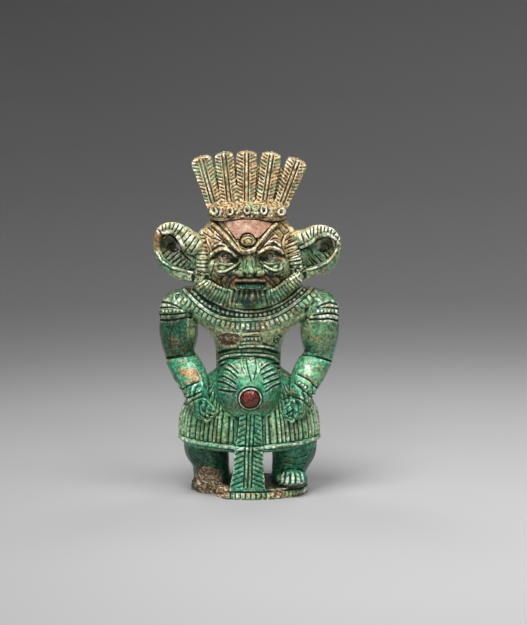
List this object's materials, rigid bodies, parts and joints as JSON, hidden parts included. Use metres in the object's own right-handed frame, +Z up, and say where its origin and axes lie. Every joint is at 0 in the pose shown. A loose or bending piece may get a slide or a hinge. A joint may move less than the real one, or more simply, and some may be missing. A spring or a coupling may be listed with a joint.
{
  "type": "bes figure",
  "caption": "Standing plumed dwarf god in green glazed faience, hands on hips, with ringed ears, pleated kilt and hanging tail on a broken plinth",
  "frame": {"origin": "middle of the plinth's flat underside", "axes": "+X to the viewer's right, -Y is where the figure faces, +Z up through the plumes"},
  "size_m": [0.0496, 0.0265, 0.0917],
  "materials": {
    "green_glaze": "worn glossy glaze",
    "rose_inlay": "dull",
    "red_inlay": "satin"
  },
  "bodies": {
    "root": {"figure": "green_glaze", "forehead_inlay": "rose_inlay", "navel_inlay": "red_inlay"}
  },
  "joints": []
}
